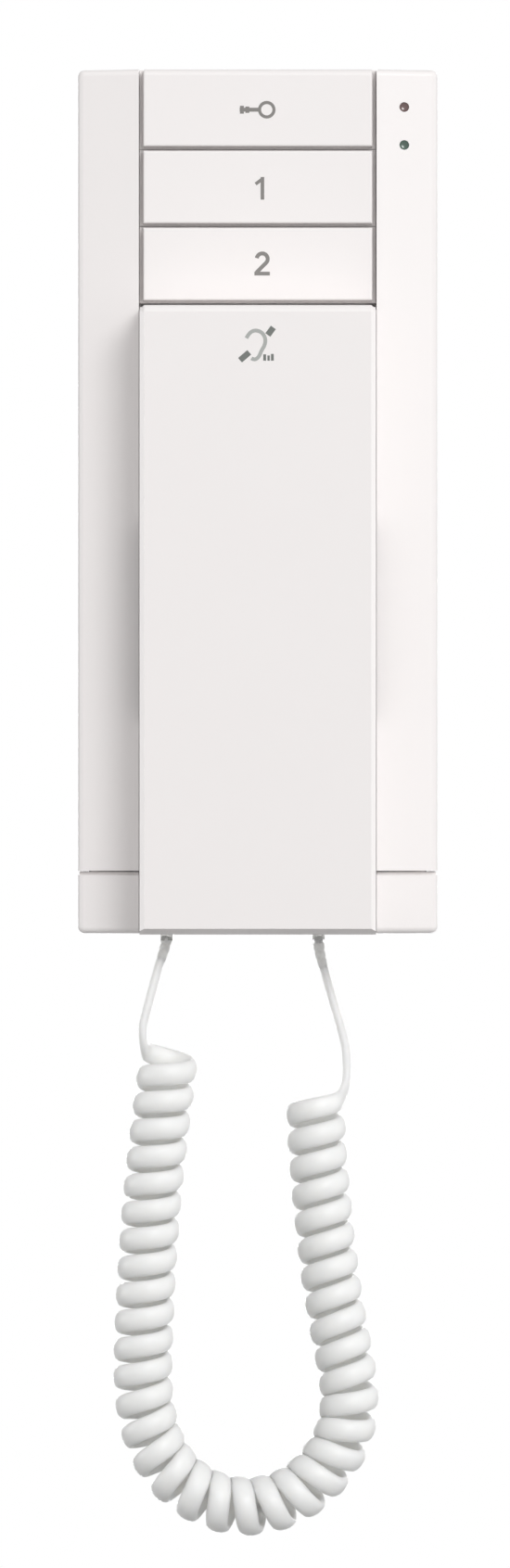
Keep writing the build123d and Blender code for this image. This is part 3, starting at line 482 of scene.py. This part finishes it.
def rolled_metal(name, low, high, low_sheen, high_sheen, stretch=(1, 1, 1)):
    """Bright metal with a fine lay in one direction, from noise drawn out along it."""
    material, shader, where = blank_finish(name, stretch)
    set_inputs(shader, Metallic=1.0)
    lay = noise(material, where, 260.0, 4.0)
    tint(material, shader, lay, low, high)
    sheen_from(material, shader, lay, low_sheen, high_sheen)
    relief_from(material, shader, lay, 0.00001)
    return material


zinc = rolled_metal("zinc plate", (0.56, 0.57, 0.60), (0.74, 0.75, 0.76), 0.22, 0.42)
finish_with(tracks("board lacquer", 0.0014), "circuit_board")
for side, word in ((-1, "left"), (1, "right")):
    screw = cross_screw(
        f"board_screw_{word}", side * board_screw_x, board_screw_z, board_front,
        way=-1, length=6.8, **small_screw,
    )
    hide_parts("board_screws")
    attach(screw, "base")

# The terminal block takes the building's wires: a grey moulded row of six ways, each with a slotted screw
# that sinks in its own cup.
ways = 6
terminal_x = -38.5
first_way_z = 42.5
way_pitch = 5.0
terminal_grey = moulded("terminal grey", (0.075, 0.09, 0.1), 0.45, 1200.0, 0.00004)
finish_with(terminal_grey, "terminal_block")


def bevelled_block(made, x, depth, z, width, reach, height, bevel):
    """A block with cut edges about a middle point: width across, reach out from the wall, height up."""
    start = bmesh.ops.create_cube(made, size=1.0)
    for vert in start["verts"]:
        vert.co = spot(x + vert.co.x * width, depth - vert.co.y * reach, z + vert.co.z * height)
    edges = list({edge for vert in start["verts"] for edge in vert.link_edges})
    bmesh.ops.bevel(made, geom=edges, offset=bevel / 1000, segments=2, profile=0.5, affect="EDGES")


for way in range(ways):
    z = first_way_z + way * way_pitch
    head = turned(
        f"terminal_screw_{way + 1}",
        [(0.7, 16.4), (0.7, 17.92), (1.45, 17.95), (1.5, 18.1), (1.5, 18.75), (1.35, 18.95)],
        terminal_x, z, steps=28,
    )
    slot_tool = bmesh.new()
    bevelled_block(slot_tool, terminal_x, 18.9, z, width=4.0, reach=0.9, height=0.45, bevel=0.02)
    cut_with(head, new_piece("slot_tool", slot_tool, crease=0.0))
    finish_with(zinc, head)
    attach(head, "base")

# The board carries a square flat-pack chip on four rows of bent legs and a standing electrolytic capacitor
# in an aluminium can with a printed sleeve.
chip_x = 14.0
chip_z = 64.0
chip_middle = 9.72
dot_from_middle = 3.8
legs_a_side = 11
leg_pitch = 0.8
capacitor_x = 38.0
capacitor_z = 60.0
resin = moulded("chip resin", (0.018, 0.018, 0.02), 0.5, 2200.0, 0.00003)
tin = rolled_metal("tinned legs", (0.5, 0.5, 0.5), (0.7, 0.7, 0.69), 0.25, 0.4)
made = bmesh.new()
bevelled_block(made, chip_x, chip_middle, chip_z, width=10.0, reach=1.0, height=10.0, bevel=0.12)
chip = new_piece("flat_pack_chip", made)
finish_with(resin, chip)
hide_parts("board_components")
dimple = turned(
    "chip_pin_dot", [(0.42, 10.19), (0.42, 10.22), (0.3, 10.22)],
    chip_x - dot_from_middle, chip_z + dot_from_middle, steps=20,
)
finish_with(terminal_grey, dimple)
made = bmesh.new()
for turn in range(4):
    spin = Matrix.Rotation(turn * pi / 2, 2)
    for leg in range(legs_a_side):
        lateral = (leg - legs_a_side // 2) * leg_pitch
        rings = []
        for reach, depth in ((4.9, chip_middle), (5.3, chip_middle), (5.45, 9.1), (6.0, 9.1)):
            ring = []
            for sideways, lift in ((-0.14, -0.06), (0.14, -0.06), (0.14, 0.06), (-0.14, 0.06)):
                at = spin @ Vector((reach, lateral + sideways))
                ring.append(made.verts.new(spot(chip_x + at.x, depth + lift, chip_z + at.y)))
            rings.append(ring)
        join_rings(made, rings)
legs = new_piece("flat_pack_legs", made, crease=0.0)
finish_with(tin, legs)
can = turned("capacitor_can", [
    (3.6, 9.0), (3.9, 9.15), (4.0, 9.5), (4.0, 10.4), (3.75, 10.7), (3.75, 11.1), (4.0, 11.4),
    (4.0, 19.0), (3.85, 19.4), (3.4, 19.5), (3.2, 19.35), (0.6, 19.3),
], capacitor_x, capacitor_z)
finish_with(moulded("capacitor sleeve", (0.025, 0.03, 0.05), 0.3, 1500.0, 0.00002, coat=0.4), can)
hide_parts("board_components")
for piece in (chip, dimple, legs, can):
    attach(piece, "base")

# Three tact switches stand under the keys. Each has a black body, a bent steel cover and a cream stem that
# the key's plunger presses.
key_rows = {"door_opener": 100.625, "call_1": 80.35, "call_2": 60.65}
cover_hole_radius = 1.85
cover_half_width = 2.9
cover_back = 12.5
cover_front = 12.62
finish_with(moulded("switch black", (0.02, 0.02, 0.022), 0.4, 1400.0, 0.00002), "tact_switches")
cream = moulded("stem cream", (0.56, 0.53, 0.44), 0.35, 1600.0, 0.00002)
inner = [(cover_hole_radius * cos(a), cover_hole_radius * sin(a)) for a in round_angles(32)]
outer = []
for px, pz in inner:
    grow = cover_half_width / max(abs(px), abs(pz))
    outer.append((px * grow, pz * grow))
for name, z in key_rows.items():
    finish_with(cream, f"switch_stem_{name}")
    made = bmesh.new()
    rings = [
        [made.verts.new(spot(px, depth, z + pz)) for px, pz in outline]
        for outline, depth in (
            (inner, cover_back), (inner, cover_front), (outer, cover_front), (outer, cover_back),
        )
    ]
    join_rings(made, rings + [rings[0]], ends=False)
    cover = new_piece(f"switch_cover_{name}", made, crease=0.0)
    finish_with(zinc, cover)
    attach(cover, "base")

# Two lamps sit on the board behind the right wing. A clear light pipe leads each one to its hole, where a
# dished lens, smoked red or smoked green, closes it a little below the face.
lamp_x = 37.5
lamp_colours = {
    "red": (100.9, (0.075, 0.032, 0.03), (0.13, 0.065, 0.06)),
    "green": (91.2, (0.022, 0.055, 0.036), (0.045, 0.1, 0.07)),
}
clear, clear_shader, clear_where = blank_finish("clear resin")
set_inputs(clear_shader, Transmission_Weight=0.6, IOR=1.5)
tint(clear, clear_shader, noise(clear, clear_where, 500.0), (0.7, 0.72, 0.66), (0.8, 0.8, 0.76))
sheen_from(clear, clear_shader, noise(clear, clear_where, 900.0), 0.1, 0.2)
finish_with(clear, "leds")
for word, (z, low, high) in lamp_colours.items():
    glass, glass_shader, glass_where = blank_finish(f"{word} lens")
    set_inputs(glass_shader, Coat_Weight=1.0, Coat_Roughness=0.09)
    tint(glass, glass_shader, noise(glass, glass_where, 900.0), low, high)
    sheen_from(glass, glass_shader, noise(glass, glass_where, 1500.0), 0.2, 0.3)
    lens = turned(f"lamp_lens_{word}", [
        (1.1, 22.72), (1.2, 22.78), (1.22, 23.1), (1.19, 23.15), (1.12, 23.13), (0.95, 23.01), (0.7, 22.91),
        (0.4, 22.86), (0.1, 22.85),
    ], lamp_x, z, steps=36)
    finish_with(glass, lens, f"light_pipe_{word}")
    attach(lens, "base")

# The three bar keys are white caps, moulded like the handset and with the same satin skin. Each carries its
# legend in grey ink: a key, 1 and 2.
key_face = 25.0
satin_white = moulded("satin white", linear(240, 236, 235), 0.36, 1500.0, 0.00002, clouding=0.012)
ink = moulded("grey ink", linear(132, 129, 126), 0.55, 2500.0, 0.00001, clouding=0.12)


def printed(name, strokes, depth):
    """Ink on a face towards the room. A stroke is its points in millimetres, its width and if it closes."""
    made = bmesh.new()
    for layer, (points, width, closed) in enumerate(strokes, start=1):
        points = [Vector(p) for p in points]
        count = len(points)
        thickness = 0.03 + 0.004 * layer
        rings = []
        for i, here in enumerate(points):
            before = points[i - 1] if i or closed else 2 * here - points[1]
            after = points[(i + 1) % count] if i < count - 1 or closed else 2 * here - points[i - 1]
            out = (after - here).normalized()
            along = ((here - before).normalized() + out).normalized()
            across = Vector((-along.y, along.x)) * (width / 2 / max(0.5, along.dot(out)))
            rings.append([
                made.verts.new(spot(edge.x, level, edge.y)) for edge, level in (
                    (here + across, depth), (here + across, depth + thickness),
                    (here - across, depth + thickness), (here - across, depth),
                )
            ])
        join_rings(made, rings + [rings[0]] if closed else rings, ends=not closed)
    return new_piece(name, made, crease=0.0)


def arc(x, z, radius, start, stop, steps):
    """Points round a circle between two angles in degrees."""
    angles = [(start + (stop - start) * i / steps) * pi / 180 for i in range(steps + 1)]
    return [(x + radius * cos(a), z + radius * sin(a)) for a in angles]


legends = {
    "door_opener": [
        (arc(2.3, 100.1, 1.85, 0, 345, 23), 0.8, True), ([(0.45, 100.1), (-4.6, 100.1)], 1.0, False),
        ([(-4.05, 99.1), (-4.05, 101.1)], 1.0, False), ([(-2.65, 99.3), (-2.65, 100.9)], 1.0, False),
    ],
    "call_1": [
        ([(1.2, 77.1), (1.2, 82.9)], 0.92, False), ([(-0.55, 81.1), (1.0, 82.25)], 0.85, False),
    ],
    "call_2": [
        (arc(1.15, 61.95, 1.4, 172, -42, 16) + [(-0.35, 58.45)], 1.0, False),
        ([(-0.85, 58.2), (3.1, 58.2)], 0.95, False),
    ],
}
for name, strokes in legends.items():
    finish_with(satin_white, f"button_{name}")
    legend = printed(f"legend_{name}", strokes, key_face)
    finish_with(ink, legend)
    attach(legend, f"button_{name}")

# The call loudspeaker is clamped behind the slots of the cradle floor. It has a black pressed basket round
# its magnet, and a paper cone with a rolled surround and a dust cap.
basket_black = moulded("basket enamel", (0.03, 0.03, 0.03), 0.35, 900.0, 0.00003, coat=0.2)
paper_black, paper_shader, paper_where = blank_finish("cone paper")
fibres = noise(paper_black, paper_where, 1800.0, 8.0)
tint(paper_black, paper_shader, fibres, (0.03, 0.0288, 0.027), (0.05, 0.048, 0.045))
sheen_from(paper_black, paper_shader, fibres, 0.75, 0.95)
relief_from(paper_black, paper_shader, fibres, 0.00008)


def loudspeaker(name, node, body, z, way, face, radius, magnet_radius, rim, thickness):
    """A basket in place of the CAD solid, and a cone in its rim. way is 1 when that looks at the room."""
    basket_profile = [
        (magnet_radius * 0.3, thickness), (magnet_radius - 0.3, thickness),
        (magnet_radius, thickness - 0.3), (magnet_radius, rim + 1.0), (magnet_radius + 0.5, rim + 0.7),
        (radius - 1.4, rim + 0.1), (radius - 0.2, rim), (radius, rim - 0.2), (radius, 0.15),
        (radius - 0.2, 0.0), (radius - 1.6, 0.0), (radius - 1.6, 0.7), (radius * 0.2, rim + 0.6),
    ]
    cone_profile = [
        (radius - 1.4, 0.75), (radius - 1.7, 0.35), (radius - 2.2, 0.15), (radius - 2.9, 0.3),
        (radius - 3.3, 0.6), (radius * 0.42, rim + 0.3), (radius * 0.4, rim + 0.2),
        (radius * 0.33, rim - 0.3), (radius * 0.2, rim - 0.6), (radius * 0.05, rim - 0.7),
    ]
    basket, cone = (
        turned(f"{name}_{part}", [(r, face - way * behind) for r, behind in profile], z=z, steps=56)
        for part, profile in (("basket", basket_profile), ("cone", cone_profile))
    )
    finish_with(basket_black, basket)
    finish_with(paper_black, cone)
    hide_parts(node)
    for piece in (basket, cone):
        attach(piece, body)


loudspeaker(
    "call_loudspeaker", "call_loudspeaker", "base", z=-52.5, way=1,
    face=11.0, radius=18.0, magnet_radius=9.0, rim=1.6, thickness=6.4,
)

# The handset presses the hook plunger, which works the hook switch on the plate. Two zinc-plated steel
# plates behind the floor hold the handset's magnets. Both moulded sockets are black.
finish_with(moulded("switch case", (0.022, 0.022, 0.024), 0.42, 1300.0, 0.00003), "hook_switch")
finish_with(moulded("acetal white", linear(236, 236, 232), 0.26, 2000.0, 0.00001, coat=0.2), "hook_plunger")
finish_with(
    rolled_metal("plated steel", (0.46, 0.47, 0.5), (0.66, 0.67, 0.68), 0.25, 0.45, stretch=(0.08, 1, 1)),
    "cradle_steel_plates",
)
finish_with(
    moulded("socket black", (0.02, 0.02, 0.022), 0.36, 1500.0, 0.00002), "base_socket", "handset_socket",
)

# The front housing and the strip across its foot are one white moulding family with a fine satin grain. The
# housing hangs on the plate's two hooks and a screw under the handset holds it.
housing_screw_z = -77.5
housing_screw_seat = 12.3
station_white = moulded("station white", linear(241, 237, 236), 0.4, 1300.0, 0.00003, clouding=0.015)
finish_with(station_white, "front_housing", "bottom_strip")
housing_screw = cross_screw(
    "housing_screw_threaded", 0.0, housing_screw_z, housing_screw_seat, way=-1, length=9.6,
    head_radius=2.8, head_height=0.9, shank_radius=1.5, pitch=1.1,
)
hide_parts("housing_screw")
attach(housing_screw, "base")

# The handset is two white shells, hooked together at the top and screwed from behind. A hearing symbol is
# printed below its upper edge.
handset_face = 46.0
handset_screw_x = 23.0
handset_screw_z = -80.0
handset_screw_seat = 19.5
finish_with(satin_white, "handset_front_shell", "handset_back_shell")
ear_points = [
    (-2.9, 40.7), (-2.2, 42.0), (-0.7, 42.8), (1.1, 42.2), (2.0, 40.6), (1.8, 38.9), (0.9, 37.5),
    (0.3, 35.9), (-0.9, 35.1), (-1.6, 35.6),
]
ear = [(p.x, p.z) for p in smooth_line([Vector((x, 0, z)) for x, z in ear_points], 5)]
hearing_ear = printed("hearing_mark_ear", [(ear, 0.95, False)], handset_face)
finish_with(moulded("pale ink", linear(171, 173, 170), 0.55, 2500.0, 0.00001, clouding=0.1), hearing_ear)
hearing_bars = printed("hearing_mark_bars", [
    ([(2.55, 41.5), (3.95, 43.4)], 1.55, False), ([(-4.5, 35.1), (-2.15, 37.1)], 1.5, False),
    ([(1.75, 35.0), (1.75, 36.6)], 0.7, False), ([(2.75, 35.0), (2.75, 36.3)], 0.6, False),
    ([(3.7, 35.0), (3.7, 36.7)], 0.7, False),
], handset_face)
finish_with(moulded("mark ink", linear(112, 116, 112), 0.55, 2500.0, 0.00001, clouding=0.12), hearing_bars)
for mark in (hearing_ear, hearing_bars):
    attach(mark, "handset")
for side, word in ((-1, "left"), (1, "right")):
    screw = cross_screw(
        f"handset_screw_{word}", side * handset_screw_x, handset_screw_z, handset_screw_seat,
        way=1, length=13.2, **small_screw,
    )
    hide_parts("handset_screws")
    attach(screw, "handset")

# Inside the handset: a small board, the earpiece behind its seven holes with the hearing-aid coil of
# enamelled copper wire round it, the microphone in a rubber boot, and two nickel-plated magnets.
finish_with(tracks("handset board lacquer", 0.0011), "handset_board")
loudspeaker(
    "earpiece", "earpiece_speaker", "handset", z=25.45, way=-1,
    face=15.7, radius=15.0, magnet_radius=7.5, rim=1.5, thickness=6.0,
)
copper, copper_shader, copper_where = blank_finish("copper winding")
set_inputs(copper_shader, Metallic=0.85)
winding = add_node(copper, "TexWave", Scale=2400.0, Distortion=0.4)
winding.bands_direction = "Y"
copper.node_tree.links.new(copper_where, winding.inputs["Vector"])
tint(copper, copper_shader, winding.outputs["Fac"], (0.3, 0.1, 0.04), (0.62, 0.26, 0.12))
sheen_from(copper, copper_shader, winding.outputs["Fac"], 0.2, 0.4)
relief_from(copper, copper_shader, winding.outputs["Fac"], 0.00008)
finish_with(copper, "telecoil")
finish_with(moulded("boot rubber", (0.022, 0.022, 0.022), 0.75, 1000.0, 0.00006), "microphone_boot")
finish_with(
    rolled_metal("drawn aluminium", (0.55, 0.55, 0.55), (0.72, 0.72, 0.72), 0.25, 0.4, stretch=(1, 0.1, 1)),
    "microphone",
)
finish_with(rolled_metal("nickel", (0.56, 0.54, 0.5), (0.7, 0.68, 0.63), 0.12, 0.22), "handset_magnets")

# The studio: a pale world that is brighter from the front and the right, one broad lamp high on the right,
# weaker ones at both sides and behind, and a pale floor far below that catches the shadow.
brightest_way = (0.3, -0.8, 0.1)
scene_middle = Vector((0, 0, -0.05))
lamp_distance = 5.0
floor_height = -0.9
floor_glow = 0.69


def seen_directly(material):
    """1 for what the camera sees, also in gloss or through clear plastic, and 0 for the light given."""
    path = add_node(material, "LightPath")
    found = path.outputs["Is Camera Ray"]
    for kind in ("Is Glossy Ray", "Is Transmission Ray"):
        either = add_node(material, "Math")
        either.operation = "MAXIMUM"
        material.node_tree.links.new(found, either.inputs[0])
        material.node_tree.links.new(path.outputs[kind], either.inputs[1])
        found = either.outputs[0]
    return found


def soft_lamp(name, towards, size, power):
    """A round lamp far from the object, in the direction that it is seen from there."""
    data = bpy.data.lights.new(name, "AREA")
    data.shape = "DISK"
    data.size = size
    data.energy = power
    lamp = bpy.data.objects.new(name, data)
    towards = Vector(towards).normalized()
    lamp.location = scene_middle + towards * lamp_distance
    lamp.rotation_euler = towards.to_track_quat("Z", "Y").to_euler()
    bpy.context.scene.collection.objects.link(lamp)


world = bpy.data.worlds.new("studio")
bpy.context.scene.world = world
world.use_nodes = True
links = world.node_tree.links
sky = world.node_tree.nodes["Background"]
set_inputs(sky, Color=(1, 1, 1, 1))
direction = add_node(world, "TexCoord")
lean = add_node(world, "VectorMath")
lean.operation = "DOT_PRODUCT"
lean.inputs[1].default_value = brightest_way
level = add_node(world, "MapRange", From_Min=-0.5, To_Max=1.04)
links.new(direction.outputs["Generated"], lean.inputs[0])
links.new(lean.outputs["Value"], level.inputs["Value"])
links.new(level.outputs["Result"], sky.inputs["Strength"])
backdrop = add_node(world, "Background", Color=(1, 1, 1, 1), Strength=1.0)
chosen = add_node(world, "MixShader")
links.new(seen_directly(world), chosen.inputs[0])
links.new(sky.outputs[0], chosen.inputs[1])
links.new(backdrop.outputs[0], chosen.inputs[2])
links.new(chosen.outputs[0], world.node_tree.nodes["World Output"].inputs["Surface"])

soft_lamp("key_lamp", (0.3, -0.87, 0.38), size=2.1, power=105.0)
soft_lamp("left_lamp", (-1, 0, 0.05), size=1.6, power=50.0)
soft_lamp("right_lamp", (1, 0, 0.05), size=1.6, power=26.0)
soft_lamp("back_lamp", (0, 1, 0), size=2.6, power=165.0)

made = bmesh.new()
bmesh.ops.create_grid(made, x_segments=1, y_segments=1, size=3.0)
floor = new_piece("floor", made)
floor.location = (0, 0, floor_height)
floor_finish, floor_shader, floor_where = blank_finish("floor")
floor_cloud = noise(floor_finish, floor_where, 30.0)
tint(floor_finish, floor_shader, floor_cloud, (0.32, 0.32, 0.32), (0.34, 0.34, 0.34))
sheen_from(floor_finish, floor_shader, floor_cloud, 0.85, 0.95)
glow = add_node(floor_finish, "Math")
glow.operation = "MULTIPLY"
glow.inputs[1].default_value = floor_glow
floor_finish.node_tree.links.new(seen_directly(floor_finish), glow.inputs[0])
floor_finish.node_tree.links.new(glow.outputs[0], floor_shader.inputs["Emission Strength"])
set_inputs(floor_shader, Emission_Color=(1, 1, 1, 1))
finish_with(floor_finish, floor)

bpy.context.scene.view_settings.view_transform = "Standard"
